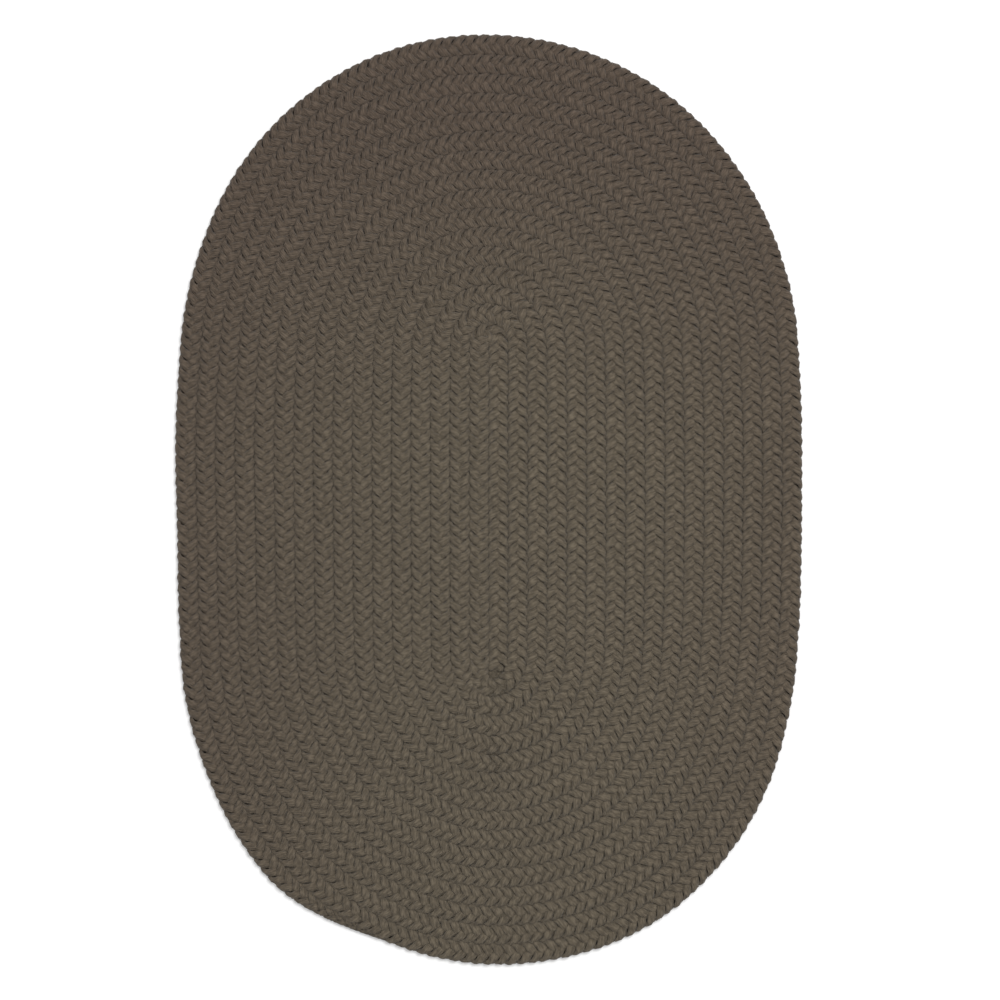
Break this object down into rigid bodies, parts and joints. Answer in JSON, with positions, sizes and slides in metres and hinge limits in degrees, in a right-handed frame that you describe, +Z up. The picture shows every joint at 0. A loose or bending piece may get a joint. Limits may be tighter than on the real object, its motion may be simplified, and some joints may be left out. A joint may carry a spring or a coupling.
{
  "type": "oval braided rug",
  "caption": "Oval floor rug made of one plaited yarn braid, folded back beside itself, coiled outwards and laced edge to edge, lying flat.",
  "frame": {"origin": "centre of the rug's footprint, on the floor that it lies on", "axes": "+Z up out of the floor, +Y along the oval's long axis, towards the end away from the one where the braid's cut end is laced under"},
  "size_m": [0.6126, 0.9082, 0.009],
  "materials": {
    "braid_yarn": "matt heathered taupe yarn, plaited in three strands"
  },
  "bodies": {
    "root": {"braided_coil": "braid_yarn"}
  },
  "joints": []
}
